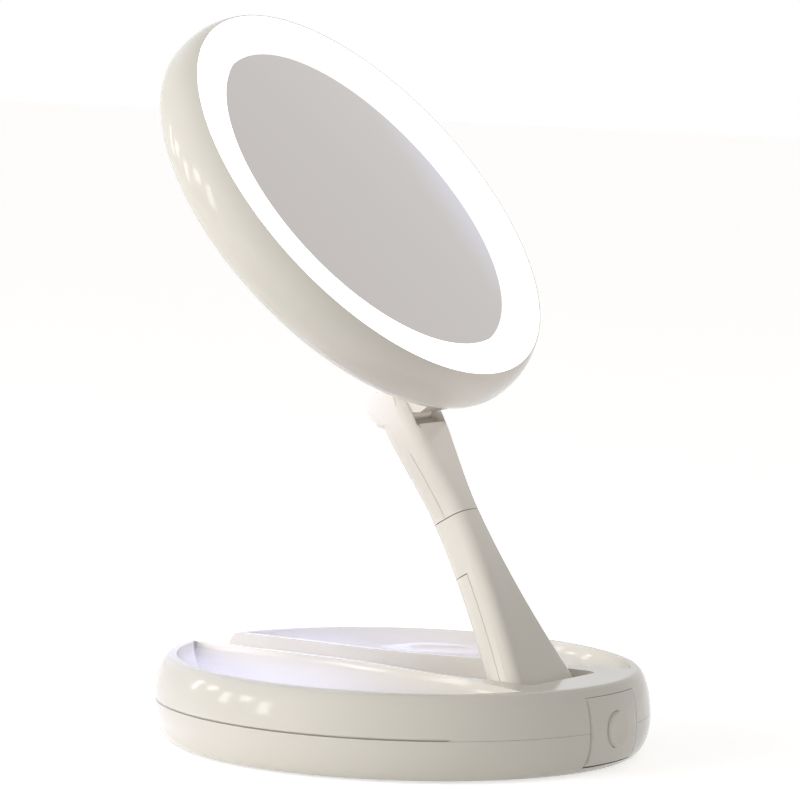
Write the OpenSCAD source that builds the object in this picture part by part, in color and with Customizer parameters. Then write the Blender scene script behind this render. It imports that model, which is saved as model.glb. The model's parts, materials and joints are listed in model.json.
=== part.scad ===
// Lighted magnifying mirror: a round two-sided head on a leaning, folding arm over a tray base
// Origin at the middle of the underside, +Z up, the power button faces -Y

/* [Base] */
// Largest radius of the base
base_r = 87.5; // [86:0.5:92]
// Height of the deck above the table
base_h = 30.4; // [30:0.2:34]
// Width of the rim's round above, from the side to the flat deck
deck_edge = 5.8; // [4:0.1:6.5]
// Width of the rim's round below, from the side to the flat underside
under_edge = 6.5; // [4:0.5:8]
// Height at which the side bulges most
bulge_z = 13; // [11:0.5:15]
// Height of the parting line between the two base shells
part_z = 15.25; // [14.5:0.25:16.5]
// Gap left open along the parting line
seam_gap = 0.3; // [0.2:0.05:0.5]
// Wall of the base shells
base_wall = 2.2; // [1.8:0.1:2.6]
// Thickness of the base floor
floor_t = 2; // [1.8:0.1:2.4]

/* [Trays] */
// Distance from the side of the base to the tray edge
tray_edge = 7.5; // [6.5:0.5:9]
// Height of the tray floor above the table
tray_floor = 18.8; // [18.8:0.1:21]
// Width of the rounded wall along the rim
rim_sweep = 14; // [8:0.5:18]
// Width of the rounded wall along the arm channel
ridge_sweep = 17; // [10:0.5:22]
// Thickness of the ridge between channel and tray
ridge_t = 2; // [1.6:0.1:3]
// Half of the distance between the two front tips
tip_x = 37; // [33:0.5:42]
// Thickness of the tray and channel skin
skin_t = 1.6; // [1.2:0.1:1.7]

/* [Channel] */
// Half width of the channel at the rear
channel_hw = 14; // [13.8:0.1:16]
// Half width of the hinge pocket
pocket_hw = 22; // [21.6:0.1:24]
// Height of the channel floor
channel_z = 11; // [10.5:0.1:11.4]
// Where the channel starts to flare
flare_rear = 20; // [10:1:30]
// Distance behind the arm pivot at which the flare ends
flare_stop = 20; // [15:1:24]
// Length of the pocket in front of the arm pivot
pocket_front = 9.5; // [9:0.5:11]
// Corner radius of the pocket
pocket_corner = 4; // [2:0.5:6]

/* [Arm] */
// Distance of the arm pivot from the front of the base
pivot_edge = 30.5; // [30:0.5:33]
// Height of the arm pivot
pivot_z = 19; // [18.8:0.1:20]
// Lean of the arm from upright
arm_lean = 30.4; // [20:0.2:35]
// Length from the pivot to the head hinge
arm_len = 118; // [110:0.5:120]
// Distance of the swivel seam from the pivot
seam_s = 73.3; // [68:0.1:76]
// Gap of the swivel seam
swivel_gap = 0.3; // [0.2:0.05:0.5]
// Half width of the foot
foot_hw = 21; // [19:0.1:21.4]
// Half width of the lower arm at the seam
seam_hw = 7.5; // [7.3:0.1:9]
// Extra half width that the foot would reach without its cap
foot_flare = 14.8; // [14:0.1:16]
// Curve of the flare, from straight at 1 to late at 2
flare_curve = 1.75; // [1.4:0.05:2]
// Half width of the upper arm at the seam
neck_hw = 7.5; // [7.3:0.1:9]
// Half width of the arm top
top_hw = 12.4; // [12.2:0.1:13]
// Half depth of the arm at the seam and below
arm_hd = 7; // [6.6:0.1:7.2]
// Half depth of the arm at its top
top_hd = 6.5; // [6:0.1:6.8]
// Corner radius of the arm
arm_corner = 4.5; // [2.5:0.1:5]
// Wall of the arm shells
arm_wall = 1.8; // [1.4:0.1:2]
// Radius of the foot knuckle
foot_r = 7.4; // [7:0.1:7.5]
// Length of the lower arm cover, from the pivot
cover_top = 52.5; // [44:0.5:53]
// Height above the pivot at which the cover starts
cover_low = 9.5; // [9:0.5:14]
// Gap around the arm covers
cover_gap = 0.15; // [0.1:0.05:0.3]

/* [Swivel] */
// Outer radius of the swivel tube
tube_r = 3.5; // [3:0.1:3.8]
// Wall of the swivel tube
tube_wall = 0.8; // [0.6:0.1:1.2]
// Length of the tube held in the lower arm
tube_low = 18; // [12:0.5:19]
// Length of the tube that stands into the upper arm
tube_high = 12; // [11:0.5:16]
// Thickness of the upper arm's end wall that turns on the tube
end_wall = 6; // [5:0.5:8]
// Thickness of the retaining ring
ring_t = 1.2; // [0.8:0.1:1.6]
// Thickness of the swivel washer
washer_t = 1; // [0.6:0.1:1.4]

/* [Head hinge] */
// Distance of the hinge pin behind the arm's middle
hinge_back = 2.4; // [2:0.1:3]
// Radius of the hinge ears
ear_r = 6; // [5.9:0.1:6.6]
// Thickness of the hinge ears
ear_t = 3.2; // [3:0.1:3.6]
// Thickness of the bracket cheeks
cheek_t = 4.1; // [3.5:0.1:4.4]
// Radius of the bracket knuckles
cheek_r = 5.5; // [5:0.1:5.8]
// Side play of the hinge parts
hinge_play = 0.3; // [0.2:0.05:0.4]
// Radius of the hinge pins
pin_r = 2; // [1.5:0.1:2.4]
// Radial running fit of pins and tube
pin_fit = 0.05; // [0.03:0.01:0.08]
// Distance from the hinge pin to the head's centre, along the face
head_reach = 66; // [65:0.02:67]
// Distance from the hinge pin to the head's middle plane
head_off = 25.53; // [25:0.01:27]
// Lean of the head's face from upright
head_lean = 40.7; // [30:0.1:45]

/* [Head] */
// Largest radius of the head
head_r = 83.15; // [82.9:0.05:84]
// Thickness of the head
head_t = 24; // [23:0.5:24.5]
// Radius of the front lip's inner edge
lip_r = 79.6; // [79.2:0.1:80]
// Width of the front light ring
ring_width = 13.1; // [11:0.1:15]
// Gap between the light ring and the front mirror behind it
mirror_gap = 0.1; // [0.05:0.05:0.4]
// Thickness of the front mirror glass
glass_t = 2.2; // [1.6:0.1:2.6]
// Thickness of the light rings
ring_lens_t = 2; // [1.6:0.1:2.4]
// Wall of the head band
band_wall = 2.2; // [1.8:0.1:2.8]
// Radius of the rear opening
rear_open_r = 58; // [57:0.5:59]
// Radius of the round magnifying mirror
mag_r = 42; // [38:0.5:44]
// Focal curve radius of the magnifying mirror
mag_curve = 420; // [350:10:800]
// Outer radius of the rear light ring
rear_lens_r = 53.5; // [50:0.5:54.5]
// Height of the rear frame beyond the band
rear_frame_t = 2.5; // [1.8:0.1:2.8]
// Count of light emitters in the front ring
led_count = 24; // [12:2:36]

/* [Controls] */
// Half width of the front panel
panel_hw = 15.8; // [15:0.1:18]
// Height of the panel's upper edge
panel_top = 27; // [26:0.1:27.4]
// Height of the panel's lower edge
panel_low = 4.6; // [4.4:0.1:5.2]
// Height of the open slot under the panel
slot_h = 1.6; // [1:0.1:1.7]
// Gap around the panel
panel_gap = 0.25; // [0.15:0.05:0.4]
// Thickness of the panel
panel_t = 3.6; // [3.2:0.1:4]
// Radius of the power button
button_r = 6.2; // [5.5:0.1:6.6]
// Height of the power button's middle
button_z = 15.2; // [14:0.1:16.5]
// Stand out of the power button
button_out = 0.9; // [0.5:0.1:1.5]
// Travel of the power button
button_travel = 0.5; // [0.3:0.1:0.6]

/* [Power] */
// Radius of a battery cell
cell_r = 7; // [6.8:0.1:7.05]
// Length of a battery cell
cell_len = 50.5; // [49:0.1:50.5]
// Pitch of the battery cells
cell_pitch = 14.4; // [14.3:0.1:14.6]
// Thickness of the battery door
door_t = 1.5; // [1.2:0.1:1.6]
// Gap around the battery door
door_gap = 0.3; // [0.2:0.05:0.4]

/* [Small parts] */
// Stand of the shell above the table
foot_gap = 0.8; // [0.6:0.1:1.2]
// Radius of a rubber foot
pad_r = 6; // [5:0.5:7]
// Distance from the side of the base to the middle of a foot
pad_edge = 17.5; // [15.5:0.5:20]
// Shank radius of the case screws
screw_r = 1.3; // [1.1:0.1:1.5]
// Head radius of the case screws
screw_head_r = 2.6; // [2.3:0.1:2.8]

/* [Hidden] */

steps = 8;
eps = 0.01;
far = 400;

// Radii and depths that follow from the base
deck_r = base_r - deck_edge;
under_r = base_r - under_edge;
tray_r = base_r - tray_edge;
pad_ring = base_r - pad_edge;
tray_depth = base_h - tray_floor;
pivot_front = base_r - pivot_edge;
mirror_r = lip_r - ring_width;

// Arm and head frames
arm_dir = [0, sin(arm_lean), cos(arm_lean)];
arm_back = [0, cos(arm_lean), -sin(arm_lean)];
pivot = [0, -pivot_front, pivot_z];
hinge = pivot + arm_len * arm_dir + hinge_back * arm_back;
face_up = [0, sin(head_lean), cos(head_lean)];
face_out = [0, -cos(head_lean), sin(head_lean)];
head_mid = hinge + head_reach * face_up + head_off * face_out;
half_t = head_t / 2;

module at_arm() {
    translate(pivot) rotate([-arm_lean, 0, 0]) children();
}

module at_head() {
    translate(head_mid) rotate([90 - head_lean, 0, 0]) children();
}

module x_rod(r, x0, x1) {
    translate([x0, 0, 0]) rotate([0, 90, 0]) cylinder(r = r, h = x1 - x0, $fn = 48);
}

module tube_z(r1, r0, z0, z1) {
    translate([0, 0, z0]) rotate_extrude($fn = 96) translate([r0, 0]) square([r1 - r0, z1 - z0]);
}

// Outer form of the base, drawn in by o
function upper_arc(o) = [for (i = [0 : steps]) let (t = 90 * i / steps)
    [deck_r - o + (base_r - deck_r) * cos(t), bulge_z + (base_h - bulge_z - o) * sin(t)]];
function lower_arc(o, f) = [for (i = [0 : steps]) let (t = 90 * i / steps)
    [under_r - o + (base_r - under_r) * cos(t), bulge_z - (bulge_z - foot_gap - f) * sin(t)]];
function lower_back(o, f) = [for (i = [steps : -1 : 1]) lower_arc(o, f)[i]];

module base_form(o, f = undef) {
    g = is_undef(f) ? o : f;
    rotate_extrude($fn = 128)
        polygon(concat([[0, foot_gap + g]], lower_back(o, g), upper_arc(o), [[0, base_h - o]]));
}

module slab(z0, z1) {
    translate([-far / 2, -far / 2, z0]) cube([far, far, z1 - z0]);
}

// Arm channel and hinge pocket in plan, grown by o
flare_front = flare_stop - pivot_front;
flare_len = flare_rear - flare_front;
function flare_hw(y) = y > flare_rear ? channel_hw
    : y < flare_front ? pocket_hw
    : channel_hw + (pocket_hw - channel_hw) * (1 - cos(180 * (flare_rear - y) / flare_len)) / 2;
pocket_y = -pivot_front - pocket_front;
function channel_side(o) = concat([[channel_hw + o, 95]],
    [for (i = [0 : 10]) let (y = flare_rear - flare_len * i / 10) [flare_hw(y) + o, y]],
    [for (i = [0 : 4]) let (t = 90 * i / 4)
        [pocket_hw - pocket_corner + (pocket_corner + o) * cos(t),
        pocket_y + pocket_corner - (pocket_corner + o) * sin(t)]]);
function mirrored(p) = [for (i = [len(p) - 1 : -1 : 0]) [-p[i][0], p[i][1]]];

module channel_form(o, z0) {
    translate([0, 0, z0]) linear_extrude(40) polygon(concat(channel_side(o), mirrored(channel_side(o))));
}

// Tray scoop: a bowl around the rim, walled off from the channel by three swept sides
bowl_steps = 9;
bowl_lift = 0.2;
side_steps = 7;
side_lift = 0.35;

module tray_bowl(o) {
    rotate_extrude($fn = 128) polygon(concat([[0, base_h + 10], [tray_r + o, base_h + 10]],
        [for (i = [0 : bowl_steps]) let (t = 90 * i / bowl_steps)
            [tray_r - rim_sweep + (rim_sweep + o) * cos(t), base_h + bowl_lift - (tray_depth + bowl_lift + o) * sin(t)]],
        [[0, base_h - tray_depth - o]]));
}

module tray_side(p, ang, o) {
    translate([p[0], p[1], 0]) rotate([0, 0, ang]) rotate([90, 0, 0]) translate([0, 0, -far / 2])
        linear_extrude(far) polygon(concat([[-o, base_h + 10]],
            [for (i = [0 : side_steps]) let (t = 90 * i / side_steps)
                [ridge_sweep - (ridge_sweep + o) * cos(t), base_h + side_lift - (tray_depth + side_lift + o) * sin(t)]],
            [[far, base_h - tray_depth - o], [far, base_h + 10]]));
}

ridge_a = [channel_hw + ridge_t, flare_rear];
ridge_b = [pocket_hw + ridge_t, flare_front];
ridge_c = [tip_x, -sqrt(tray_r * tray_r - tip_x * tip_x)];
turn_b = atan2(ridge_b[0] - ridge_a[0], ridge_a[1] - ridge_b[1]);
turn_c = atan2(ridge_c[0] - ridge_b[0], ridge_b[1] - ridge_c[1]);

module tray_form(o) {
    intersection() {
        tray_bowl(o);
        tray_side(ridge_a, 0, o);
        tray_side(ridge_a, turn_b, o);
        tray_side(ridge_b, turn_c, o);
    }
}

module both() {
    children();
    mirror([1, 0, 0]) children();
}

// Control board behind the panel
board_hw = 15;
board_y = pocket_y - skin_t - 5.7;
board_t = 1.6;
plunger_y = board_y - 3.6;

// Case screws and their bosses
function spot(inset, ang) = [(base_r - inset) * cos(ang), (base_r - inset) * sin(ang)];
screw_spots = [spot(16.8, -151.26), spot(16.8, 151.26), spot(11.9, -52.52), spot(11.9, 52.52)];
boss_r = 3.6;
boss_low = foot_gap + floor_t + 0.3;

module screw_bosses() {
    for (p = screw_spots) translate([p[0], p[1], boss_low])
        cylinder(r = boss_r, h = base_h - tray_depth - boss_low + 4, $fn = 32);
}

// Front panel window, grown by g
module panel_window(g, z0, z1) {
    translate([-panel_hw - g, -base_r - 5, z0]) cube([2 * (panel_hw + g), 25, z1 - z0]);
}

lip_in = base_r - base_wall - 1.7;
flange_w = 2;

module base_upper_shell() {
    color("whitesmoke") difference() {
        intersection() {
            base_form(0);
            union() {
                difference() {
                    slab(part_z + seam_gap / 2, base_h + 5);
                    base_form(base_wall);
                }
                both() intersection() {
                    tray_form(skin_t);
                    slab(channel_z - skin_t, base_h + 5);
                }
                channel_form(skin_t, channel_z - skin_t);
                difference() {
                    rotate_extrude($fn = 128) polygon([[lip_in, part_z - 1.8], [lip_in + 1.5, part_z - 1.8],
                        [lip_in + 1.5, part_z + seam_gap / 2], [lip_in + 3, part_z + seam_gap / 2],
                        [lip_in + 3, part_z + 2], [lip_in, part_z + 2]]);
                    panel_window(flange_w + 0.4, 0, 40);
                }
                screw_bosses();
                both() translate([0, -pivot_front, pivot_z]) x_rod(pin_r + 3.5, pocket_hw, pocket_hw + 5.5);
            }
        }
        both() tray_form(0);
        channel_form(0, channel_z);
        panel_window(panel_gap, -1, panel_top + panel_gap);
        translate([0, -pivot_front, pivot_z]) x_rod(pin_r + pin_fit, -pocket_hw - 4.5, pocket_hw + 4.5);
        for (p = screw_spots) translate([p[0], p[1], boss_low - 1]) cylinder(r = screw_r, h = 10.5, $fn = 24);
    }
}

// Battery bay
cell_mid_z = foot_gap + floor_t + 0.1 + cell_r;
bay_x0 = pocket_hw + skin_t + 0.2;
bay_wall = 1;
cell_x0 = bay_x0 + bay_wall + 2.2;
cell_x1 = cell_x0 + cell_len;
bay_hy = 2 * cell_pitch + 0.3;
door_x0 = bay_x0 + 2.2;
door_x1 = cell_x1 - 2;
door_r = base_r - 9;
door_axis_z = foot_gap + floor_t / 2;

module door_plan(g) {
    intersection() {
        translate([door_x0 - g, -bay_hy - g]) square([door_x1 - door_x0 + 2 * g, 2 * (bay_hy + g)]);
        circle(r = door_r + g, $fn = 128);
    }
}

module base_lower_shell() {
    color("gainsboro") difference() {
        intersection() {
            base_form(0);
            union() {
                difference() {
                    slab(0, part_z - seam_gap / 2);
                    base_form(base_wall, floor_t);
                }
                intersection() {
                    base_form(1);
                    translate([bay_x0, -bay_hy - 1.6, foot_gap]) difference() {
                        cube([cell_x1 + 2.2 - bay_x0, 2 * bay_hy + 3.2, cell_mid_z + 3 - foot_gap]);
                        translate([bay_wall, 1.6, -1]) cube([cell_x1 + 0.7 - bay_x0 - bay_wall, 2 * bay_hy, 40]);
                    }
                }
                both() translate([13.4, board_y - 2, foot_gap + floor_t - eps]) cube([3, 5.6, 8]);
                intersection() {
                    base_form(1);
                    for (p = screw_spots) translate([p[0], p[1], foot_gap]) cylinder(r = 4.6, h = floor_t, $fn = 32);
                }
            }
        }
        channel_form(skin_t + 0.2, channel_z - skin_t - 0.2);
        panel_window(panel_gap, panel_low - slot_h, 40);
        translate([0, 0, foot_gap - 1]) linear_extrude(floor_t + 1.01) door_plan(door_gap);
        translate([door_x0 + door_t / 2, -bay_hy - 1.8, door_axis_z]) rotate([-90, 0, 0])
            cylinder(r = 0.6 + pin_fit, h = 2 * bay_hy + 3.6, $fn = 24);
        for (a = [45 : 90 : 315]) rotate([0, 0, a]) translate([pad_ring, 0, 0])
            cylinder(r = pad_r + 0.1, h = foot_gap + 0.8, $fn = 48);
        for (p = screw_spots) translate([p[0], p[1], 0]) {
            cylinder(r = screw_r + 0.2, h = 10, $fn = 24);
            cylinder(r = screw_head_r + 0.2, h = foot_gap + 1.1, $fn = 32);
        }
        translate([-board_hw - 0.15, board_y - 0.1, foot_gap + floor_t]) cube([2 * board_hw + 0.3, board_t + 0.2, 30]);
    }
}

module rubber_feet() {
    color("dimgray") for (a = [45 : 90 : 315]) rotate([0, 0, a]) translate([pad_ring, 0, 0])
        cylinder(r = pad_r, h = foot_gap + 0.75, $fn = 48);
}

module screw(len) {
    cylinder(r = screw_head_r, h = 1.4, $fn = 24);
    cylinder(r = screw_r - 0.05, h = len, $fn = 16);
}

module base_screws() {
    color("silver") for (p = screw_spots) translate([p[0], p[1], foot_gap + 1.05 - 1.4]) difference() {
        screw(12);
        translate([0, 0, -1]) cylinder(r = 5, h = 1.2, $fn = 24);
    }
}

module battery_door() {
    color("gainsboro") {
        difference() {
            translate([0, 0, foot_gap]) linear_extrude(door_t) door_plan(0);
            translate([door_x0 - 1, -bay_hy - 1, foot_gap - 1]) cube([1.3 + door_t / 2, 2 * bay_hy + 2, door_t + 2]);
        }
        translate([door_x0 + door_t / 2, -bay_hy, door_axis_z]) rotate([-90, 0, 0])
            cylinder(r = door_t / 2, h = 2 * bay_hy, $fn = 32);
        translate([door_x0 + door_t / 2, -bay_hy - 1.5, door_axis_z]) rotate([-90, 0, 0])
            cylinder(r = 0.6, h = 2 * bay_hy + 3, $fn = 24);
    }
}

module at_cells() {
    for (k = [-1.5 : 1 : 1.5]) translate([0, k * cell_pitch, cell_mid_z]) children();
}

module battery_cells() {
    color("slategray") at_cells() {
        x_rod(cell_r, cell_x0, cell_x1 - 1);
        x_rod(2.7, cell_x1 - 1 - eps, cell_x1);
    }
}

module battery_springs() {
    color("silver") at_cells() {
        x_rod(4.2, cell_x0 - 1.6, cell_x0 - 1);
        x_rod(3, cell_x0 - 1 - eps, cell_x0 - 0.1);
    }
}

module contact_plates() {
    color("silver") {
        at_cells() translate([cell_x0 - 2.1, -5, -5]) cube([0.4, 10, 10]);
        at_cells() translate([cell_x1 + 0.1, -4, -4]) cube([0.4, 8, 8]);
    }
}

// Front panel with the flange that seats behind the shells
module front_panel() {
    color("whitesmoke") difference() {
        union() {
            intersection() {
                base_form(0);
                panel_window(0, panel_low, panel_top);
            }
            intersection() {
                base_form(base_wall + 0.2);
                panel_window(flange_w, panel_low, panel_top + 1);
            }
        }
        base_form(panel_t);
        cylinder(r = base_r - panel_t - 2, h = base_h, $fn = 128);
        translate([0, -60, button_z]) rotate([90, 0, 0]) cylinder(r = button_r + 0.15, h = 40, $fn = 64);
        translate([0, -60, button_z]) rotate([90, 0, 0])
            cylinder(r = button_r + 1.4, h = base_r - 60 - panel_t + 0.5, $fn = 64);
    }
}

button_seat = base_r - panel_t + 0.4;

module y_rod(r, y0, y1) {
    translate([0, y1, button_z]) rotate([90, 0, 0]) cylinder(r = r, h = y1 - y0, $fn = 48);
}

module power_button() {
    color("white") {
        difference() {
            y_rod(button_r, -base_r - button_out, -button_seat);
            translate([0, -base_r - button_out - 38.6, button_z]) difference() {
                translate([-20, -5, -20]) cube([40, 48, 40]);
                rotate([-90, 0, 0]) translate([0, 0, 38.6]) cylinder(r1 = button_r - 0.6, r2 = button_r + 4, h = 4.6, $fn = 48);
            }
        }
        y_rod(button_r + 1.1, -button_seat, -button_seat + 1.2);
        y_rod(2, -button_seat + 1.2 - eps, plunger_y - 0.5);
        y_rod(1.5, plunger_y - 0.5 - eps, plunger_y + 1);
    }
}

module tact_switch() {
    color("dimgray") difference() {
        translate([-3, plunger_y, button_z - 3]) cube([6, board_y - plunger_y, 6]);
        y_rod(1.7, plunger_y - 1, plunger_y + 1 + button_travel + 0.3);
    }
}

module control_board() {
    color("seagreen") {
        difference() {
            translate([-board_hw, board_y, foot_gap + floor_t + 0.1]) cube([2 * board_hw, board_t, 20]);
            for (x = [-12, 12]) translate([x, board_y - 1, 20]) rotate([-90, 0, 0]) cylinder(r = 1.2, h = 5, $fn = 24);
        }
        for (x = [-9, -1, 7]) translate([x, board_y + board_t - eps, 8]) cube([5, 1.2, 5]);
        translate([-6, board_y + board_t - eps, 17]) cube([12, 2, 3]);
    }
}

module base_hinge_pin() {
    color("silver") translate(pivot) x_rod(pin_r, -pocket_hw - 4.3, pocket_hw + 4.3);
}

module hinge_washers() {
    color("whitesmoke") both() translate(pivot) difference() {
        x_rod(5, foot_hw + 0.1, pocket_hw - 0.1);
        x_rod(pin_r + pin_fit, foot_hw - 1, pocket_hw + 1);
    }
}

// Arm sections: rounded rectangles whose width swells towards the foot and the top
function lower_hw(s) = min(foot_hw, seam_hw + foot_flare * pow(max(0, seam_s - s) / seam_s, flare_curve));
neck_end = arm_len - ear_r;
function ease(t) = t * t * (3 - 2 * t);
function upper_hw(s) = neck_hw + (top_hw - neck_hw) * ease(min(1, max(0, (s - seam_s) / (neck_end - seam_s))));
function upper_hd(s) = arm_hd + (top_hd - arm_hd) * min(1, max(0, (s - seam_s) / (neck_end - seam_s)));

function ring(w, d, c, s) = [for (k = [0 : 3]) for (j = [0 : 4]) let (t = 90 * k + 22.5 * j)
    [(k == 0 || k == 3 ? 1 : -1) * (w - c) + c * cos(t), (k < 2 ? 1 : -1) * (d - c) + c * sin(t), s]];
n_ring = 20;

module loft(rings) {
    m = len(rings);
    polyhedron(points = [for (r = rings) each r],
        faces = concat([[for (i = [0 : n_ring - 1]) i]],
            [for (k = [0 : m - 2]) for (i = [0 : n_ring - 1]) let (j = (i + 1) % n_ring)
                [k * n_ring + i, (k + 1) * n_ring + i, (k + 1) * n_ring + j]],
            [for (k = [0 : m - 2]) for (i = [0 : n_ring - 1]) let (j = (i + 1) % n_ring)
                [k * n_ring + i, (k + 1) * n_ring + j, k * n_ring + j]],
            [[for (i = [n_ring - 1 : -1 : 0]) (m - 1) * n_ring + i]]));
}

module lower_form(o, s0, s1, n) {
    loft([for (i = [0 : n]) let (s = s0 + (s1 - s0) * i / n)
        ring(lower_hw(s) - o, arm_hd - o, arm_corner - o, s)]);
}

module upper_form(o, s0, s1, n) {
    loft([for (i = [0 : n]) let (s = s0 + (s1 - s0) * i / n)
        ring(upper_hw(s) - o, upper_hd(s) - o, arm_corner - o, s)]);
}

lower_end = seam_s - swivel_gap / 2;
upper_start = seam_s + swivel_gap / 2;
socket_s = lower_end - tube_low - 1;
arm_screw_s = [18, 38];

module cover_zone(s0, s1, g) {
    translate([-30, -g, s0 - g]) cube([60, 30, s1 - s0 + 2 * g]);
}

module lower_arm_shell() {
    color("whitesmoke") at_arm() difference() {
        union() {
            difference() {
                union() {
                    lower_form(0, 0, lower_end, 14);
                    x_rod(foot_r, -foot_hw, foot_hw);
                }
                lower_form(arm_wall, cover_low, socket_s, 8);
                cover_zone(cover_low, cover_top, cover_gap);
            }
            for (s = arm_screw_s) translate([0, -arm_hd + 1, s]) rotate([-90, 0, 0])
                cylinder(r = 3, h = arm_hd - 1 - cover_gap, $fn = 32);
        }
        x_rod(pin_r + pin_fit, -foot_hw - 1, foot_hw + 1);
        translate([0, 0, socket_s - 1]) cylinder(r = tube_r, h = lower_end, $fn = 48);
        for (s = arm_screw_s) translate([0, -arm_hd + 2.4, s]) rotate([-90, 0, 0])
            cylinder(r = screw_r, h = 20, $fn = 24);
    }
}

module lower_arm_cover() {
    color("gainsboro") at_arm() difference() {
        intersection() {
            lower_form(0, 0, lower_end, 14);
            cover_zone(cover_low, cover_top, -cover_gap);
        }
        difference() {
            lower_form(arm_wall, cover_low - 1, socket_s, 8);
            for (s = arm_screw_s) translate([0, 0, s]) rotate([-90, 0, 0]) cylinder(r = 3.6, h = 20, $fn = 32);
        }
        for (s = arm_screw_s) translate([0, -1, s]) rotate([-90, 0, 0]) {
            cylinder(r = screw_r + 0.2, h = 20, $fn = 24);
            translate([0, 0, arm_hd - 1]) cylinder(r = screw_head_r + 0.2, h = 20, $fn = 32);
        }
    }
}

module arm_screws() {
    color("silver") at_arm() for (s = arm_screw_s) translate([0, arm_hd - 0.5, s]) rotate([90, 0, 0]) screw(10);
}

clip_s = upper_start + end_wall + washer_t + 0.2;

module swivel_tube() {
    color("silver") at_arm() difference() {
        tube_z(tube_r, tube_r - tube_wall, lower_end - tube_low, upper_start + tube_high);
        tube_z(tube_r + 1, tube_r - 0.4, clip_s, clip_s + ring_t);
    }
}

module retaining_ring() {
    color("silver") at_arm() difference() {
        tube_z(tube_r + 1.2, tube_r - 0.35, clip_s + 0.05, clip_s + ring_t - 0.05);
        translate([-1.5, 0, clip_s - 1]) cube([3, 20, ring_t + 2]);
    }
}

module swivel_washer() {
    color("whitesmoke") at_arm()
        tube_z(tube_r + 1.4, tube_r + pin_fit, upper_start + end_wall + 0.05, clip_s - 0.1);
}

slot_hw = top_hw - ear_t;
upper_hollow = upper_start + end_wall;
cover_end = arm_len - 15;

module upper_arm_shell() {
    color("whitesmoke") at_arm() difference() {
        union() {
            upper_form(0, upper_start, neck_end + 1, 14);
            translate([0, hinge_back, arm_len]) x_rod(ear_r, -top_hw, top_hw);
        }
        upper_form(arm_wall, upper_hollow, cover_end - arm_wall, 8);
        cover_zone(upper_start - 2, cover_end, cover_gap);
        translate([0, hinge_back, arm_len]) {
            x_rod(pin_r + pin_fit, -top_hw - 1, top_hw + 1);
            x_rod(cheek_r + 2.6, -slot_hw, slot_hw);
            translate([-slot_hw, -20, 0]) cube([2 * slot_hw, 40, 30]);
            translate([-slot_hw, -20, -cheek_r - 2.6]) cube([2 * slot_hw, 20, 30]);
            translate([-slot_hw, -20, -cheek_r - 5.4]) cube([2 * slot_hw, 14.2, 30]);
        }
        translate([0, 0, upper_start - 1]) cylinder(r = tube_r + pin_fit, h = end_wall + 2, $fn = 48);
        translate([0, 0, cover_end - 6]) cylinder(r = tube_r - tube_wall, h = 12, $fn = 32);
    }
}

module upper_arm_cover() {
    color("gainsboro") at_arm() difference() {
        intersection() {
            upper_form(0, upper_start, neck_end + 1, 14);
            cover_zone(upper_start - 2, cover_end, -cover_gap);
        }
        upper_form(arm_wall, upper_hollow, cover_end - arm_wall, 8);
        translate([0, 0, upper_start - 1]) cylinder(r = tube_r + pin_fit, h = end_wall + 2, $fn = 48);
    }
}

// Hinge between arm and head
cheek_x1 = slot_hw - hinge_play;
cheek_x0 = cheek_x1 - cheek_t;
plate_t = 2.5;
hinge_y = -head_reach;
hinge_z = -head_off;

module hinge_barrel() {
    color("silver") translate(hinge) {
        x_rod(pin_r, -top_hw + 0.4, top_hw - 0.4);
        x_rod(cheek_r - 0.3, -cheek_x0 + hinge_play, cheek_x0 - hinge_play);
    }
}

bracket_screw_y = [hinge_y - 8.5, hinge_y + 0.8];

module head_bracket() {
    color("gainsboro") at_head() difference() {
        union() {
            translate([-12, hinge_y - 12.5, -half_t - plate_t]) cube([24, 16.5, plate_t]);
            both() translate([0, hinge_y, hinge_z]) x_rod(cheek_r, cheek_x0, cheek_x1);
            both() translate([cheek_x0, 0, 0]) rotate([90, 0, 90]) linear_extrude(cheek_t)
                polygon([[hinge_y - cheek_r, hinge_z], [hinge_y - 9, -half_t - plate_t / 2],
                    [hinge_y + 3.8, -half_t - plate_t / 2], [hinge_y + cheek_r, hinge_z]]);
        }
        translate([0, hinge_y, hinge_z]) x_rod(pin_r + pin_fit, -20, 20);
        for (y = bracket_screw_y) translate([0, y, -half_t - plate_t - 1]) {
            cylinder(r = screw_r + 0.2, h = 6, $fn = 24);
            cylinder(r = screw_head_r + 0.2, h = 2.5, $fn = 32);
        }
    }
}

module bracket_screws() {
    color("silver") at_head() for (y = bracket_screw_y) translate([0, y, -half_t - plate_t + 0.1]) screw(7.5);
}

// Head band and back in one piece: a soft round towards the rear, a slight taper to the front lip
round_r = 64;
bend = 2 / 2.4;
function rear_arc(o, n) = [for (i = [0 : n]) let (t = 90 * i / n)
    [round_r + (head_r - round_r - o) * pow(cos(t), bend), -(half_t - o) * pow(sin(t), bend)]];
function front_arc(n) = [for (i = [n : -1 : 1]) let (k = i / n)
    [head_r - (head_r - lip_r - 0.8) * pow(k, 2.2), half_t * k - (i == n ? 0.15 : 0)]];
lens_z = half_t - 0.3 - ring_lens_t;
ledge_r = lip_r - 1.6;
frame_r = ledge_r - 0.3;
stud_ring = 70;

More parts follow.
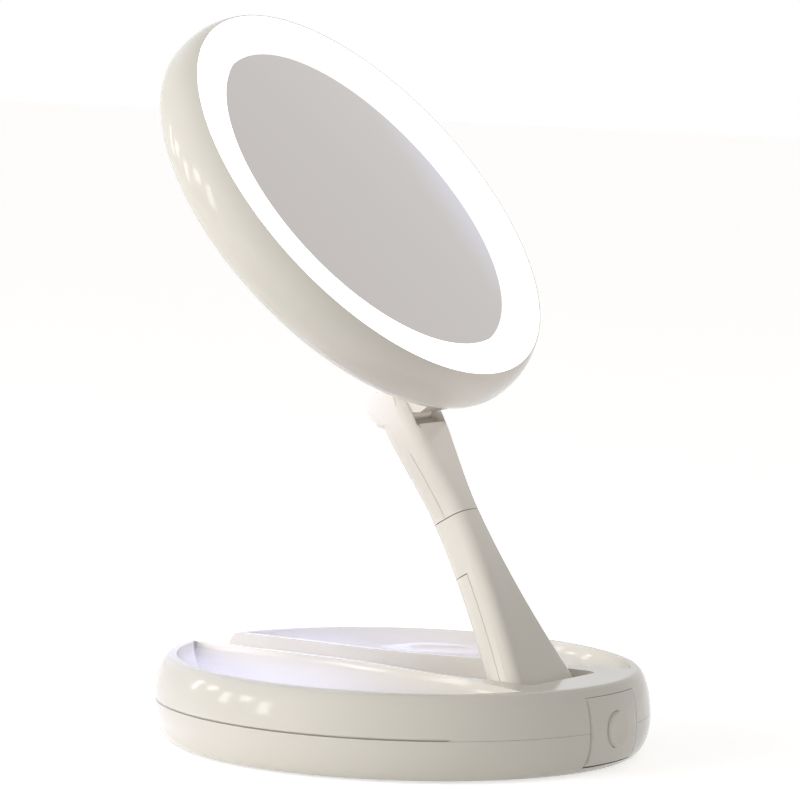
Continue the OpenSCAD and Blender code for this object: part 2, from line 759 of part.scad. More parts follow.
module head_band() {
    color("whitesmoke") at_head() difference() {
        union() {
            rotate_extrude($fn = 180) polygon(concat([[lip_r, half_t], [lip_r + 0.5, half_t]], front_arc(6),
                rear_arc(0, 10), [[rear_open_r, -half_t], [rear_open_r, -half_t + band_wall]],
                [for (i = [8 : -1 : 0]) rear_arc(band_wall, 8)[i]],
                [[lip_r + 0.2, lens_z - 3.4], [ledge_r, lens_z - 1.6], [ledge_r, lens_z - 0.1], [lip_r, lens_z - 0.1]]));
            translate([-12.6, hinge_y - 13.1, -half_t]) cube([25.2, 16.5, band_wall + 2]);
            for (a = [0 : 60 : 300]) rotate([0, 0, a]) translate([stud_ring, 0, -half_t + band_wall - eps])
                cylinder(r = 3.5, h = half_t - band_wall - 1.1 + eps, $fn = 32);
        }
        for (a = [0 : 60 : 300]) rotate([0, 0, a]) translate([stud_ring, 0, -half_t + 4])
            cylinder(r = screw_r, h = half_t, $fn = 24);
        for (y = bracket_screw_y) translate([0, y, -half_t - 1]) cylinder(r = screw_r, h = 8, $fn = 24);
    }
}

module inner_frame() {
    color("white") at_head() difference() {
        tube_z(frame_r, 12, -1, 1);
        for (a = [0 : 60 : 300]) rotate([0, 0, a]) translate([stud_ring - 1, 0, -2]) cylinder(r = screw_r + 0.3, h = 4, $fn = 24);
    }
}

glass_z = lens_z - mirror_gap - glass_t;
glass_r = mirror_r + 1;

module front_carrier() {
    color("white") at_head() {
        tube_z(glass_r + 0.5, glass_r - 1.5, 1.1, glass_z - 0.1);
        tube_z(glass_r - 1.4, 20, glass_z - 1.7, glass_z - 0.1);
    }
}

module front_mirror() {
    color("lightsteelblue") at_head() translate([0, 0, glass_z]) cylinder(r = glass_r, h = glass_t, $fn = 128);
}

module front_lens() {
    color("ivory") at_head() tube_z(lip_r - 0.2, mirror_r, lens_z, lens_z + ring_lens_t);
}

front_led_r = (glass_r + 0.5 + frame_r) / 2;

module front_led_board() {
    color("seagreen") at_head() tube_z(frame_r - 0.5, glass_r + 1, 1.1, 2.7);
}

module front_leds() {
    color("khaki") at_head() for (k = [0 : led_count - 1]) rotate([0, 0, 360 * k / led_count])
        translate([front_led_r - 1.4, -1.75, 2.7]) cube([2.8, 3.5, 0.8]);
}

rear_z = -half_t - rear_frame_t;
rear_led_r = (mag_r + rear_lens_r) / 2;
mag_edge_t = 3.2;

module rear_led_board() {
    color("seagreen") at_head() tube_z(rear_lens_r - 1.5, mag_r + 1.4, -2.7, -1.1);
}

module rear_leds() {
    color("khaki") at_head() for (k = [0 : led_count - 1]) rotate([0, 0, 360 * k / led_count])
        translate([rear_led_r - 1.4, -1.5, -3.5]) cube([2.8, 3, 0.8]);
}

module rear_carrier() {
    color("white") at_head() {
        tube_z(mag_r + 1, mag_r - 0.1, rear_z + 0.3 + ring_lens_t + 0.1, -1.1);
        tube_z(mag_r + 0.5, 10, rear_z + 0.4 + mag_edge_t + 0.1, rear_z + 0.4 + mag_edge_t + 1.7);
    }
}

module rear_lens() {
    color("ivory") at_head() tube_z(rear_lens_r, mag_r, rear_z + 0.3, rear_z + 0.3 + ring_lens_t);
}

// Concave glass: the face is a shallow cup, turned from an arc of the focal curve
module magnifying_mirror() {
    color("lightsteelblue") at_head() translate([0, 0, rear_z + 0.4]) rotate_extrude($fn = 128)
        polygon(concat([[0, mag_edge_t], [mag_r - 0.2, mag_edge_t]],
            [for (i = [10 : -1 : 0]) let (r = (mag_r - 0.2) * i / 10)
                [r, sqrt(mag_curve * mag_curve - r * r) - sqrt(mag_curve * mag_curve - mag_r * mag_r) + 0.02]]));
}

module rear_frame() {
    color("whitesmoke") at_head() rotate_extrude($fn = 128) polygon([[rear_open_r + 1.6, -half_t - 0.05],
        [rear_open_r + 1.6, -half_t - rear_frame_t / 2], [rear_open_r + 0.4, rear_z], [rear_lens_r + 0.2, rear_z],
        [rear_lens_r + 0.2, rear_z + 0.3 + ring_lens_t + 0.1], [rear_lens_r - 1.6, rear_z + 0.3 + ring_lens_t + 0.1],
        [rear_lens_r - 1.6, -half_t + 2], [rear_lens_r + 1, -half_t + 2], [rear_lens_r + 1, -1.1],
        [rear_open_r - 0.2, -1.1], [rear_open_r - 0.2, -half_t - 0.05]]);
}

base_upper_shell();
base_lower_shell();
rubber_feet();
base_screws();
battery_door();
battery_cells();
battery_springs();
contact_plates();
front_panel();
power_button();
tact_switch();
control_board();
base_hinge_pin();
hinge_washers();
lower_arm_shell();
lower_arm_cover();
arm_screws();
swivel_tube();
retaining_ring();
swivel_washer();
upper_arm_shell();
upper_arm_cover();
hinge_barrel();
head_bracket();
bracket_screws();
head_band();
inner_frame();
front_carrier();
front_led_board();
front_leds();
front_lens();
front_mirror();
rear_led_board();
rear_leds();
rear_carrier();
rear_lens();
magnifying_mirror();
rear_frame();
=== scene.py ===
# %% [markdown]
# # A lighted magnifying mirror, dressed in Blender
# The real object is a table mirror of glossy warm-white moulded plastic. A round head, with a glowing ring
# around its glass, leans back on a slim folding arm, and the arm stands in a round base with two scooped trays.
# The engineering model already has every piece at its true size. This lesson loads it, mixes one material for
# each finish of the real thing, and gives the pieces that show a smooth skin.

# %% Load the model
import json
import math

import bmesh
import bpy
from mathutils import Matrix, Vector


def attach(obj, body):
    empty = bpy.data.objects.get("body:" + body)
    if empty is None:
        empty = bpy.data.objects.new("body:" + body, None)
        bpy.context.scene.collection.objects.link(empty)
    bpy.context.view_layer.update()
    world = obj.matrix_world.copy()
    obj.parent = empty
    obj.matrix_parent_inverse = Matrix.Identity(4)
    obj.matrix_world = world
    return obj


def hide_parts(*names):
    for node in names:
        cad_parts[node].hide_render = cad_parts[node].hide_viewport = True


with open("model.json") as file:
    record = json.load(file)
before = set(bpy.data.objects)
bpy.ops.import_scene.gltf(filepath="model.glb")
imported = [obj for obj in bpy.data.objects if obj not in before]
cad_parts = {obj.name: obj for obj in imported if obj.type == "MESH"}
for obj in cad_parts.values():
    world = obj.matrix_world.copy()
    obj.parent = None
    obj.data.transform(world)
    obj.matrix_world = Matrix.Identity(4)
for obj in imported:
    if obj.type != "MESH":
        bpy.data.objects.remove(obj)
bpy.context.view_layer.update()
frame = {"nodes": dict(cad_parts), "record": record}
nodes = frame["nodes"]
to_metres = 0.001
print("loaded", len(nodes), "pieces")

# %% [markdown]
# ## The camera
# The photograph was taken from a little above the table, from the left of the button. A long lens keeps the
# head, which is nearer to the camera, from looking larger than it is, so the camera stands well back.
# Two points fix it: where it stands, and what it looks at. A last small turn levels the frame as in the photograph.

# %% Place the camera
camera_place = Vector((-1.3356, -0.8427, 0.2565))
camera_aim = Vector((-0.00225, 0.00357, 0.12185))
camera_roll = 0.032

camera_data = bpy.data.cameras.new("camera")
camera_data.lens = 203.4
camera_data.sensor_width = 36
camera_data.clip_end = 20
camera = bpy.data.objects.new("camera", camera_data)
bpy.context.scene.collection.objects.link(camera)
looking = (camera_aim - camera_place).to_track_quat("-Z", "Y").to_matrix().to_4x4()
rolled = Matrix.Rotation(camera_roll, 4, "Z")
camera.matrix_world = Matrix.Translation(camera_place) @ looking @ rolled
bpy.context.scene.camera = camera
print("camera stands", round((camera_aim - camera_place).length, 3), "m away")

# %% [markdown]
# ## Helpers for materials
# Every finish is a small network around one Principled shader. One helper starts a material and returns its
# shader, the others add noise, a bump, and a colour that runs between two tones. The noise reads the object's own
# coordinates, so a pattern stays on its piece when the joints move.


# %% Start a finish
def new_finish(name, roughness=0.5, metallic=0.0):
    material = bpy.data.materials.new(name)
    material.use_nodes = True
    shader = material.node_tree.nodes["Principled BSDF"]
    shader.inputs["Roughness"].default_value = roughness
    shader.inputs["Metallic"].default_value = metallic
    return material, material.node_tree, shader


# %% Noise on the object's own coordinates
def add_noise(tree, scale, detail=2.0, stretch=(1, 1, 1)):
    place = tree.nodes.new("ShaderNodeTexCoord")
    mapping = tree.nodes.new("ShaderNodeMapping")
    mapping.inputs["Scale"].default_value = stretch
    noise = tree.nodes.new("ShaderNodeTexNoise")
    noise.inputs["Scale"].default_value = scale
    noise.inputs["Detail"].default_value = detail
    tree.links.new(place.outputs["Object"], mapping.inputs["Vector"])
    tree.links.new(mapping.outputs["Vector"], noise.inputs["Vector"])
    return noise.outputs["Fac"]


# %% Bump and tone
def add_bump(tree, shader, height, strength, distance):
    bump = tree.nodes.new("ShaderNodeBump")
    bump.inputs["Strength"].default_value = strength
    bump.inputs["Distance"].default_value = distance
    tree.links.new(height, bump.inputs["Height"])
    tree.links.new(bump.outputs["Normal"], shader.inputs["Normal"])


def run_tones(tree, shader, mask, low, high, socket="Base Color", start=0.35, end=0.65):
    ramp = tree.nodes.new("ShaderNodeValToRGB")
    ramp.color_ramp.elements[0].position = start
    ramp.color_ramp.elements[1].position = end
    ramp.color_ramp.elements[0].color = (*low, 1)
    ramp.color_ramp.elements[1].color = (*high, 1)
    tree.links.new(mask, ramp.inputs["Fac"])
    tree.links.new(ramp.outputs["Color"], shader.inputs[socket])
    return ramp


# %% [markdown]
# ## Glossy moulded plastic
# The shells are injection-moulded in a warm white and polished in the mould, so they show sharp highlights. Real
# mouldings are never quite flat: a very wide, very low bump lets the reflections wander a little, and the colour
# drifts by a hair between thick and thin places.


# %% Make the shell plastic
def make_shell_plastic():
    material, tree, shader = new_finish("shell_plastic", roughness=0.11)
    run_tones(tree, shader, add_noise(tree, 14), (0.85, 0.822, 0.745), (0.878, 0.848, 0.768))
    shader.inputs["IOR"].default_value = 1.49
    add_bump(tree, shader, add_noise(tree, 26, 1.0), strength=0.12, distance=0.0006)
    return material


shell_plastic = make_shell_plastic()
print("made", shell_plastic.name)

# %% [markdown]
# ## The inner plastic, steel and rubber
# What sits inside is plainer: matt white carriers, turned steel pins with fine rings, and soft grey-black feet
# whose surface is dull and a little uneven. One helper makes them all from two close tones and a fine grain,
# because they differ only in colour, scale and shine.


# %% Make the inner finishes
def make_grained(name, low, high, scale, roughness, metallic=0.0, bump=0.0, stretch=(1, 1, 1)):
    material, tree, shader = new_finish(name, roughness, metallic)
    grain = add_noise(tree, scale, 4.0, stretch)
    run_tones(tree, shader, grain, low, high)
    if bump:
        add_bump(tree, shader, grain, bump, distance=0.0003)
    return material


inner_plastic = make_grained("inner_plastic", (0.74, 0.74, 0.73), (0.80, 0.80, 0.79), 60, 0.5, bump=0.1)
turned_steel = make_grained("turned_steel", (0.42, 0.42, 0.43), (0.60, 0.60, 0.61), 900, 0.3, metallic=1.0,
                            bump=0.1, stretch=(0.05, 1, 1))
foot_rubber = make_grained("foot_rubber", (0.03, 0.03, 0.032), (0.055, 0.055, 0.057), 300, 0.8, bump=0.3)
board_lacquer = make_grained("board_lacquer", (0.02, 0.12, 0.05), (0.03, 0.17, 0.07), 250, 0.35)
switch_black = make_grained("switch_black", (0.02, 0.02, 0.02), (0.035, 0.035, 0.035), 250, 0.45)
cell_sleeve = make_grained("cell_sleeve", (0.05, 0.06, 0.08), (0.08, 0.09, 0.11), 250, 0.35, metallic=0.6)
print("made the inner finishes")

# %% [markdown]
# ## The mirror glass
# Silvered glass is a metal that reflects almost everything without blur. Its warm grey is a painted reflection,
# which stands in for the pale room the glass faces. Close to its right edge a painted reflection of the ring's
# glow turns the grey lilac and lighter. The ramp runs along the object's own X, so the painted lilac edge stays on
# the glass.


# %% Make the silvered glass with its painted reflections
def make_silvered_glass(painted_room_grey, painted_glow_lilac, start, end):
    material, tree, shader = new_finish("silvered_glass", roughness=0.03, metallic=1.0)
    place = tree.nodes.new("ShaderNodeTexCoord")
    across = tree.nodes.new("ShaderNodeSeparateXYZ")
    reach = tree.nodes.new("ShaderNodeMapRange")
    reach.inputs["From Min"].default_value = start
    reach.inputs["From Max"].default_value = end
    tree.links.new(place.outputs["Object"], across.inputs[0])
    tree.links.new(across.outputs["X"], reach.inputs["Value"])
    # The ramp paints a reflection: from the painted grey to a lighter lilac edge that stands in for the ring's
    # glow.
    ramp = run_tones(tree, shader, reach.outputs["Result"], painted_room_grey, painted_glow_lilac, start=0.0, end=1.0)
    ramp.color_ramp.interpolation = "EASE"
    return material


# %% [markdown]
# ## The glowing rings
# The light rings are opal plastic with small emitters behind them. An even emission stands for the light that the
# opal spreads, and a soft noise keeps it a touch uneven, as over real emitters. The front ring glows pure white.
# The ring on the back is stronger and cooler, because it is what lights the neck from behind.


# %% Make the opal
def make_lit_opal(name, tone, strength):
    material, tree, shader = new_finish(name, roughness=0.35)
    shader.inputs["Base Color"].default_value = (0.85, 0.85, 0.85, 1)
    shader.inputs["Emission Strength"].default_value = strength
    dim = tuple(0.92 * part for part in tone)
    run_tones(tree, shader, add_noise(tree, 90, 1.0), dim, tone, "Emission Color", 0.3, 0.7)
    return material


lit_opal = make_lit_opal("lit_opal", (1.0, 1.0, 1.0), 1.6)
lit_opal_rear = make_lit_opal("lit_opal_rear", (0.62, 0.65, 1.0), 10.0)
print("made the two opals")

# %% [markdown]
# ## Skins for the moulded shells
# The engineering mesh is cut into loose triangles, and its round corners are short flats. A copy of it is merged
# into one surface, and its flat regions become single faces. Its real corners stay crisp, and everything gentler
# is shaded smooth, with normals that follow the large faces. The engineering mesh itself stays as it is.

# %% Where the pieces belong
body_of_node = {name: body for body, names in frame["record"]["behaviour"]["bodies"].items() for name in names}


def place_piece(name, mesh, finish, node):
    piece = bpy.data.objects.new(name, mesh)
    bpy.context.scene.collection.objects.link(piece)
    mesh.materials.clear()
    mesh.materials.append(finish)
    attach(piece, body_of_node[node])
    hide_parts(node)
    return piece


# %% Make a skin from a shell
def skin_from_shell(node, finish, soft_angle=32, change=None):
    mesh = nodes[node].data.copy()
    mesh.name = node + "_skin"
    shape = bmesh.new()
    shape.from_mesh(mesh)
    bmesh.ops.remove_doubles(shape, verts=shape.verts, dist=2e-6)
    if change:
        change(shape)
    bmesh.ops.dissolve_limit(shape, angle_limit=math.radians(0.3), verts=shape.verts, edges=shape.edges)
    for face in shape.faces:
        face.smooth = True
    shape.to_mesh(mesh)
    shape.free()
    mesh.set_sharp_from_angle(angle=math.radians(soft_angle))
    piece = place_piece(node + "_skin", mesh, finish, node)
    smoother = piece.modifiers.new("even_normals", "WEIGHTED_NORMAL")
    smoother.keep_sharp = True
    print(piece.name, len(mesh.polygons), "faces")
    return piece


# %% [markdown]
# ## The base, the door and the lower arm
# The two halves of the base meet in a parting line, and the covers of the arm sit in its shells. In the
# photograph these seams are hair-thin, while the engineering model keeps the full running clearance. So the lips
# of the base move together a little, and the covers grow a little towards the arm's front.

# %% Frames of the leaning arm and head
arm_frame = Matrix.Translation((0, -0.057, 0.019)) @ Matrix.Rotation(math.radians(-30.4), 4, "X")
head_frame = Matrix.Translation((0, 0.028467, 0.186247)) @ Matrix.Rotation(math.radians(90 - 40.7), 4, "X")

# %% Finer seams
parting_height = 0.01525
half_gap = 0.00015
lip_shift = 0.000105
side_wall_r = 0.085
cover_growth = 0.000125


def is_lip(vert, height):
    return abs(vert.co.z - height) < 0.00005 and vert.co.xy.length > side_wall_r


def lower_the_lip(shape):
    for vert in shape.verts:
        if is_lip(vert, parting_height + half_gap):
            vert.co.z -= lip_shift


def raise_the_lip(shape):
    for vert in shape.verts:
        if is_lip(vert, parting_height - half_gap):
            vert.co.z += lip_shift


def widen_cover(shape):
    to_arm = arm_frame.inverted()
    for vert in shape.verts:
        local = to_arm @ vert.co
        if local.y < 0.0003:
            local.y -= cover_growth
            vert.co = arm_frame @ local


# %% Skin the base, the covers, the door and the lower arm
skin_from_shell("base_upper_shell", shell_plastic, soft_angle=42, change=lower_the_lip)
skin_from_shell("base_lower_shell", shell_plastic, change=raise_the_lip)
skin_from_shell("lower_arm_cover", shell_plastic, change=widen_cover)
skin_from_shell("upper_arm_cover", shell_plastic, change=widen_cover)
skin_from_shell("battery_door", shell_plastic)
skin_from_shell("lower_arm_shell", shell_plastic)

# %% [markdown]
# ## The front panel
# The panel that holds the button reaches down until only a thin shadow line is left below it, as in the
# photograph. Moving its lowest points is enough, since its face stays the same.


# %% Lengthen the panel
def lengthen_panel(shape):
    for vert in shape.verts:
        vert.co.x *= 1.006
        if vert.co.z < 0.007:
            vert.co.z -= 0.0009
        if vert.co.z > 0.0269:
            vert.co.z += 0.0001


skin_from_shell("front_panel", shell_plastic, change=lengthen_panel)

# %% [markdown]
# ## The bracket behind the head
# The bracket ties the head to its hinge. On the real mirror it ends flush with the round of the head's back, and
# a smooth fairing closes it around the hinge. The fairing is one outline, drawn in millimetres in the head's own
# frame and extruded across the bracket: two arcs around the hinge, joined by straight lines.


# %% Join a loose part to a shape
def join_part(shape, part, to_place):
    bmesh.ops.scale(part, vec=(to_metres, to_metres, to_metres), verts=part.verts)
    bmesh.ops.transform(part, matrix=to_place, verts=part.verts)
    bmesh.ops.recalc_face_normals(part, faces=part.faces)
    loose = bpy.data.meshes.new("loose_part")
    part.to_mesh(loose)
    part.free()
    shape.from_mesh(loose)
    bpy.data.meshes.remove(loose)


# %% The fairing's outline
def arc(middle, reach, start, end, step=10):
    return [(middle[0] + reach * math.cos(math.radians(turn)), middle[1] + reach * math.sin(math.radians(turn)))
            for turn in range(start, end + 1, step)]


hinge_in_head = (-66.0, -25.53)
fairing_outline = [(-62.2, -11.5), (-76.0, -9.3), (-75.6, -15.5)]
fairing_outline += arc(hinge_in_head, 7.9, 140, 250) + arc(hinge_in_head, 5.5, 270, 360)
fairing_half_width = 9.0


# %% Shorten the bracket and add the fairing
def add_fairing(shape):
    part = bmesh.new()
    face = part.faces.new([part.verts.new((-fairing_half_width, y, z)) for y, z in fairing_outline])
    grown = bmesh.ops.extrude_face_region(part, geom=[face])
    outer = [item for item in grown["geom"] if isinstance(item, bmesh.types.BMVert)]
    bmesh.ops.translate(part, vec=(2 * fairing_half_width, 0, 0), verts=outer)
    join_part(shape, part, head_frame)


def shorten_bracket(shape):
    bracket_end = -0.072
    to_head = head_frame.inverted()
    for vert in shape.verts:
        local = to_head @ vert.co
        if local.y < bracket_end:
            local.y = bracket_end
            vert.co = head_frame @ local
    add_fairing(shape)


skin_from_shell("head_bracket", shell_plastic, change=shorten_bracket)

# %% [markdown]
# ## The switch
# The button presses on a small black switch. Its plunger is made a hair shorter than the button's full stroke,
# so that the two only just meet when the button is down.


# %% Ease the plunger
def ease_plunger(shape):
    front = min(vert.co.y for vert in shape.verts)
    for vert in shape.verts:
        if vert.co.y < front + 0.00001:
            vert.co.y += 0.00003


skin_from_shell("tact_switch", switch_black, change=ease_plunger)

# %% [markdown]
# ## The cheeks at the top of the arm
# The ears of the arm swell into smooth cheeks that cover the ends of the hinge pin. Each cheek is a loft: rounded
# sections of the arm, one above the other, are bridged into a skin. They start inside the arm's own surface, stand
# a little proud of it, and draw in over the pin. A cut at the ear's inner face leaves the gap for the hinge open.

# %% Sections of the arm, in millimetres
seam_height, ear_rise = 73.3, 38.7
neck_half_width, ear_widening = 7.5, 4.9
neck_half_depth, depth_taper = 7.0, 0.5
ear_inner_face = 9.35


def arm_section(height, proud):
    share = (height - seam_height) / ear_rise
    wide = neck_half_width + ear_widening * share * share * (3 - 2 * share) + proud
    deep = neck_half_depth - depth_taper * share + proud
    return height, wide, -deep, deep


arm_part = [arm_section(99, -0.08), arm_section(101, -0.02), arm_section(103, 0.02), arm_section(106, 0.05),
            arm_section(109, 0.06)]
pin_part = [(112.0, 12.47, -6.57, 6.6), (114.5, 12.48, -6.5, 7.3), (117.0, 12.48, -6.1, 8.35),
            (119.5, 12.48, -5.2, 8.3), (121.5, 12.4, -3.8, 7.3), (123.0, 12.2, -1.7, 5.8),
            (123.8, 11.9, 0.2, 4.2), (124.1, 11.5, 1.4, 3.2)]
print(len(arm_part) + len(pin_part), "sections for each cheek")


# %% Round a section's corners
def rounded_section(height, wide, front, back, corner=4.4, steps=6):
    corner = min(corner, (back - front) / 2 - 0.01)
    ring = []
    for side, depth, start in ((1, back, 0), (-1, back, 90), (-1, front, 180), (1, front, 270)):
        inward = -1 if depth == back else 1
        for i in range(steps + 1):
            turn = math.radians(start + 90 * i / steps)
            ring.append((side * (wide - corner) + corner * math.cos(turn),
                         depth + inward * corner + corner * math.sin(turn), height))
    return ring


# %% Loft the cheeks
def add_cheeks(shape):
    for side in (-1, 1):
        part = bmesh.new()
        rows = []
        for section in arm_part + pin_part:
            row = [part.verts.new(spot) for spot in rounded_section(*section)]
            rows.append([part.edges.new((row[i - 1], row[i])) for i in range(len(row))])
        for low, high in zip(rows, rows[1:]):
            bmesh.ops.bridge_loops(part, edges=low + high)
        part.faces.new([edge.verts[0] for edge in rows[-1]])
        bmesh.ops.bisect_plane(part, geom=part.verts[:] + part.edges[:] + part.faces[:],
                               plane_co=(ear_inner_face * side, 0, 0), plane_no=(-side, 0, 0), clear_outer=True)
        bmesh.ops.holes_fill(part, edges=[edge for edge in part.edges if edge.is_boundary], sides=0)
        join_part(shape, part, arm_frame)


skin_from_shell("upper_arm_shell", shell_plastic, change=add_cheeks)

# %% [markdown]
# ## The head is turned
# Everything in the head is round about one axis, so each piece is a short outline spun once around it. The
# outline is drawn in millimetres, radius first and height along the axis second, and then moved into the leaning
# frame of the head.


# %% A helper that spins an outline
def turn_outline(name, outline, finish, node, steps=160, corner=0.0):
    mesh = bpy.data.meshes.new(name)
    shape = bmesh.new()
    spots = [shape.verts.new((r / 1000, 0, z / 1000)) for r, z in outline]
    rim = [shape.edges.new((spots[i], spots[(i + 1) % len(spots)])) for i in range(len(spots))]
    if outline[0][0] == 0 and outline[-1][0] == 0:
        shape.edges.remove(rim.pop())
    bmesh.ops.spin(shape, geom=shape.verts[:] + rim, cent=(0, 0, 0), axis=(0, 0, 1), angle=math.tau, steps=steps,
                   use_merge=True)
    bmesh.ops.remove_doubles(shape, verts=shape.verts, dist=1e-7)
    if corner:
        sharp = [edge for edge in shape.edges if edge.calc_face_angle(0) > math.radians(40)]
        bmesh.ops.bevel(shape, geom=sharp, offset=corner / 1000, segments=3, affect="EDGES", profile=0.5,
                        material=-1)
    bmesh.ops.recalc_face_normals(shape, faces=shape.faces)
    bmesh.ops.transform(shape, matrix=head_frame, verts=shape.verts)
    for face in shape.faces:
        face.smooth = True
    shape.to_mesh(mesh)
    shape.free()
    mesh.set_sharp_from_angle(angle=math.radians(32))
    print(name, len(mesh.polygons), "faces")
    return place_piece(name, mesh, finish, node)


# %% [markdown]
# ## The band
# The band is the head's side and back in one moulding. Its side swells a little behind the front lip and then
# rolls softly over to the back. Both curves are super-ellipses, rounder than a circle's quarter.

# %% Sizes of the band, in millimetres
head_r, half_t, round_r, lip_r, rear_open_r, band_wall = 83.15, 12.0, 64.0, 79.6, 58.0, 2.2


# %% Curves of the band
def rear_roll(inset, count):
    turns = [math.pi / 2 * i / count for i in range(count + 1)]
    power = 2 / 2.4
    return [(round_r + (head_r - round_r - inset) * max(math.cos(t), 0) ** power,
             -(half_t - inset) * max(math.sin(t), 0) ** power) for t in turns]


front_draw = head_r - lip_r - 0.3
front_roll = [(head_r - front_draw * k ** 2.6, half_t * k) for k in (1, 0.9, 0.8, 0.65, 0.5, 0.35, 0.2, 0.1)]
lip = [(lip_r, 9.6), (lip_r, 11.8), (lip_r + 0.08, 11.94)]
rear_edge = [(rear_open_r, -half_t), (rear_open_r, -half_t + band_wall)]
inner_side = rear_roll(band_wall, 12)[::-1]

# %% Turn the band
turn_outline("band_skin", lip + front_roll + rear_roll(0, 28) + rear_edge + inner_side, shell_plastic, "head_band",
             steps=200)

# %% [markdown]
# ## The rings and the glass
# The front ring lies just behind the lip, and the flat mirror lies behind the ring. On the back, a smaller ring
# surrounds the round magnifying mirror, and a rounded frame holds both. A small bevel on each gives the light an
# edge to catch.

# %% Turn the rings and the front mirror
turn_outline("front_ring", [(66.5, 9.7), (79.55, 9.7), (79.55, 11.95), (66.5, 11.7)], lit_opal, "front_lens",
             corner=0.15)
turn_outline("rear_ring", [(42.0, -14.2), (53.5, -14.2), (53.5, -12.2), (42.0, -12.2)], lit_opal_rear, "rear_lens",
             corner=0.25)
# The mirror's colours are painted reflections: a warm grey for the pale room, and a lilac edge for the ring's glow.
silvered_glass = make_silvered_glass(painted_room_grey=(0.55, 0.52, 0.505), painted_glow_lilac=(0.66, 0.65, 0.735), start=0.036,
                                     end=0.0665)
turn_outline("front_glass", [(0, 7.4), (67.5, 7.4), (67.5, 9.6), (0, 9.6)], silvered_glass, "front_mirror",
             corner=0.15)

# %% [markdown]
# ## Dress the other pieces
# Pieces that already have the right shape keep their engineering mesh and only get the finish of the real one.

# %% Assign the finishes
finish_of = {
    shell_plastic: ["power_button", "rear_frame", "hinge_barrel"],
    inner_plastic: ["inner_frame", "front_carrier", "rear_carrier", "hinge_washers", "swivel_washer"],
    turned_steel: ["base_screws", "arm_screws", "bracket_screws", "base_hinge_pin", "swivel_tube",
                   "retaining_ring", "battery_springs", "contact_plates"],
    foot_rubber: ["rubber_feet"],
    # The magnifying mirror takes the same painted grey and painted lilac edge as the front glass.
    silvered_glass: ["magnifying_mirror"],
    lit_opal: ["front_leds", "rear_leds"],
    board_lacquer: ["control_board", "front_led_board", "rear_led_board"],
    cell_sleeve: ["battery_cells"],
}
for finish, names in finish_of.items():
    for name in names:
        data = nodes[name].data
        data.materials.clear()
        data.materials.append(finish)
print("dressed", sum(len(names) for names in finish_of.values()), "pieces in their own shape")

# %% [markdown]
# ## Floor and background
# The floor is a pale plane that catches the object's soft shadow. The camera also sees it glow a little, which
# lifts it to white without throwing more light on the object. The world behind it is white to the camera and in
# reflections, and dimmer as a lamp.


# %% White only where it is seen
def seen_directly(tree):
    path = tree.nodes.new("ShaderNodeLightPath")
    either = tree.nodes.new("ShaderNodeMath")
    either.operation = "MAXIMUM"
    any_of_three = tree.nodes.new("ShaderNodeMath")
    any_of_three.operation = "MAXIMUM"
    tree.links.new(path.outputs["Is Camera Ray"], either.inputs[0])
    tree.links.new(path.outputs["Is Glossy Ray"], either.inputs[1])
    tree.links.new(either.outputs["Value"], any_of_three.inputs[0])
    tree.links.new(path.outputs["Is Transmission Ray"], any_of_three.inputs[1])
    return any_of_three.outputs["Value"]


# %% Floor
floor_mesh = bpy.data.meshes.new("floor")
shape = bmesh.new()
bmesh.ops.create_grid(shape, x_segments=1, y_segments=1, size=8)
shape.to_mesh(floor_mesh)
shape.free()
floor = bpy.data.objects.new("floor", floor_mesh)
bpy.context.scene.collection.objects.link(floor)
print("laid the floor")

# %% Its pale finish
floor_finish, floor_tree, floor_shader = new_finish("pale_floor", roughness=0.7)
floor_shader.inputs["Base Color"].default_value = (0.9, 0.9, 0.9, 1)
floor_shader.inputs["Specular IOR Level"].default_value = 0.1
floor_shader.inputs["Emission Color"].default_value = (1, 1, 1, 1)
glow = floor_tree.nodes.new("ShaderNodeMath")
glow.operation = "MULTIPLY"
glow.inputs[1].default_value = 0.65
floor_tree.links.new(seen_directly(floor_tree), glow.inputs[0])
floor_tree.links.new(glow.outputs["Value"], floor_shader.inputs["Emission Strength"])
floor_mesh.materials.append(floor_finish)

# %% World
world = bpy.data.worlds.new("world")
bpy.context.scene.world = world
world.use_nodes = True
air = world.node_tree
backdrop = air.nodes["Background"]
backdrop.inputs["Color"].default_value = (1.0, 0.965, 0.93, 1)
skyward = air.nodes.new("ShaderNodeTexCoord")
height = air.nodes.new("ShaderNodeSeparateXYZ")
fading = air.nodes.new("ShaderNodeMapRange")
fading.inputs["To Min"].default_value = 0.40
fading.inputs["To Max"].default_value = 0.27
air.links.new(skyward.outputs["Generated"], height.inputs[0])
air.links.new(height.outputs["Z"], fading.inputs["Value"])
air.links.new(fading.outputs["Result"], backdrop.inputs["Strength"])

# %% White world where it is seen
white = air.nodes.new("ShaderNodeBackground")
white.inputs["Color"].default_value = (1, 1, 1, 1)
white.inputs["Strength"].default_value = 1.0
choice = air.nodes.new("ShaderNodeMixShader")
air.links.new(seen_directly(air), choice.inputs["Fac"])
air.links.new(backdrop.outputs["Background"], choice.inputs[1])
air.links.new(white.outputs["Background"], choice.inputs[2])
air.links.new(choice.outputs["Shader"], air.nodes["World Output"].inputs["Surface"])
bpy.context.scene.view_settings.view_transform = "Standard"
print("set a white world")


# %% [markdown]
# ## The lamps
# A large soft window stands behind the left shoulder of the object: it makes the left side bright and lets the
# front fall into a warm grey. A weaker lamp stands for the rest of the room. The window's panes are small and
# bright, and the gloss shows them as a row of little windows.


# %% A helper that places a lamp
def place_lamp(name, data, place, aim, power, colour):
    data.energy = power
    data.color = colour
    lamp = bpy.data.objects.new(name, data)
    lamp.location = place
    lamp.rotation_euler = (Vector(aim) - Vector(place)).to_track_quat("-Z", "Y").to_euler()
    bpy.context.scene.collection.objects.link(lamp)
    return lamp


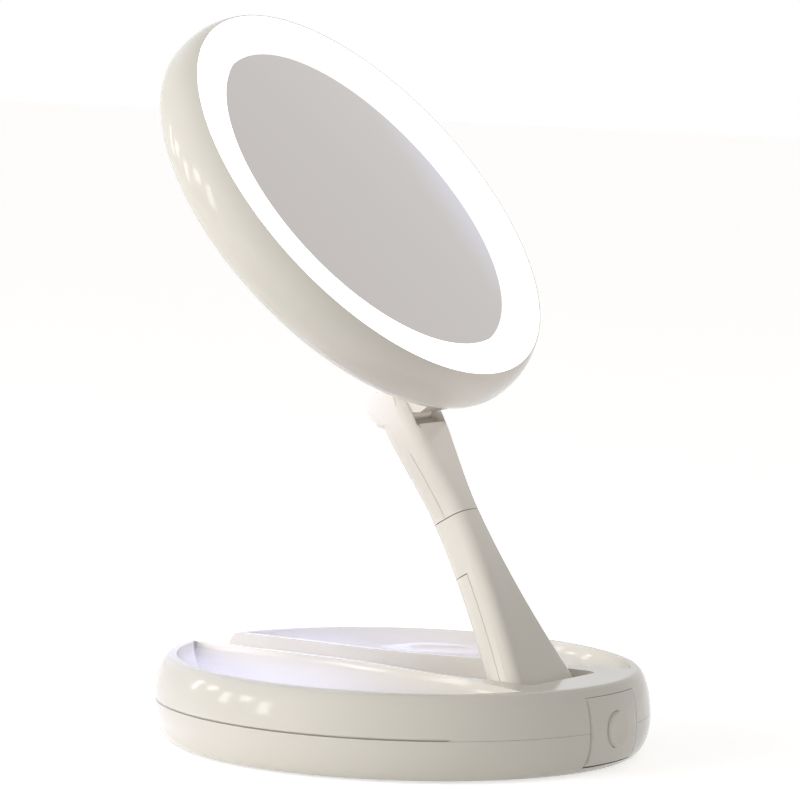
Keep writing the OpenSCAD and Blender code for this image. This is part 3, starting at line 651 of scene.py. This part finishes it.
# %% The window, the room and the panes
def add_lamp(name, place, size, power, colour):
    data = bpy.data.lights.new(name, "AREA")
    data.shape = "RECTANGLE"
    data.size, data.size_y = size
    return place_lamp(name, data, place, (0, 0, 0.1), power, colour)


soft_window = add_lamp("soft_window", (-1.25, 0.58, 0.42), (0.9, 0.9), 8.5, (1.0, 0.985, 0.965))
soft_window.visible_glossy = False
room = add_lamp("room", (-0.5, -2.2, 0.2), (1.5, 1.0), 5.0, (1.0, 0.98, 0.96))
room.visible_glossy = False
pane_distance = 2.5
panes = ((0.16, 0.62, 16), (0.26, 0.34, 19), (0.2, 0.5, 14), (0.3, 0.3, 18), (0.24, 0.52, 13))
for pane, (wide, high, rise_degrees) in enumerate(panes):
    turn = math.radians(8 + 12 * pane)
    rise = math.radians(rise_degrees)
    toward = Vector((-math.sin(turn) * math.cos(rise), math.cos(turn) * math.cos(rise), math.sin(rise)))
    add_lamp(f"pane_{pane + 1}", toward * pane_distance, (wide, high), 15 * wide * high, (1.0, 0.985, 0.96))
print("lit by a soft window, the room and", len(panes), "panes")

# %% [markdown]
# ## The glows
# The rings throw a soft light on the neck and into the trays. Their opal gives some of it, and small spots with
# fully faded edges add the rest, because an opal strong enough for the trays would bleach the neck beside it.


# %% The glows of the rings
def add_glow(name, place, aim, angle, power, colour):
    data = bpy.data.lights.new(name, "SPOT")
    data.spot_size = math.radians(angle)
    data.spot_blend = 1.0
    data.shadow_soft_size = 0.03
    place_lamp(name, data, place, aim, power, colour).visible_glossy = False


add_glow("neck_glow", (-0.25, -0.10, 0.075), (0, 0, 0.118), 22, 0.17, (0.95, 0.80, 1.0))
add_glow("rear_glow", (0, 0.045, 0.165), (0, 0.045, 0), 72, 0.66, (0.53, 0.56, 1.0))
add_glow("front_glow", (-0.02, -0.31, 0.03), (0, -0.006, 0.112), 15, 1.1, (1.0, 0.90, 0.98))
add_glow("tray_glow", (-0.28, 0.02, 0.065), (-0.01, -0.035, 0.055), 18, 0.25, (1.0, 0.96, 0.90))
print("added four glows at the neck and over the trays")
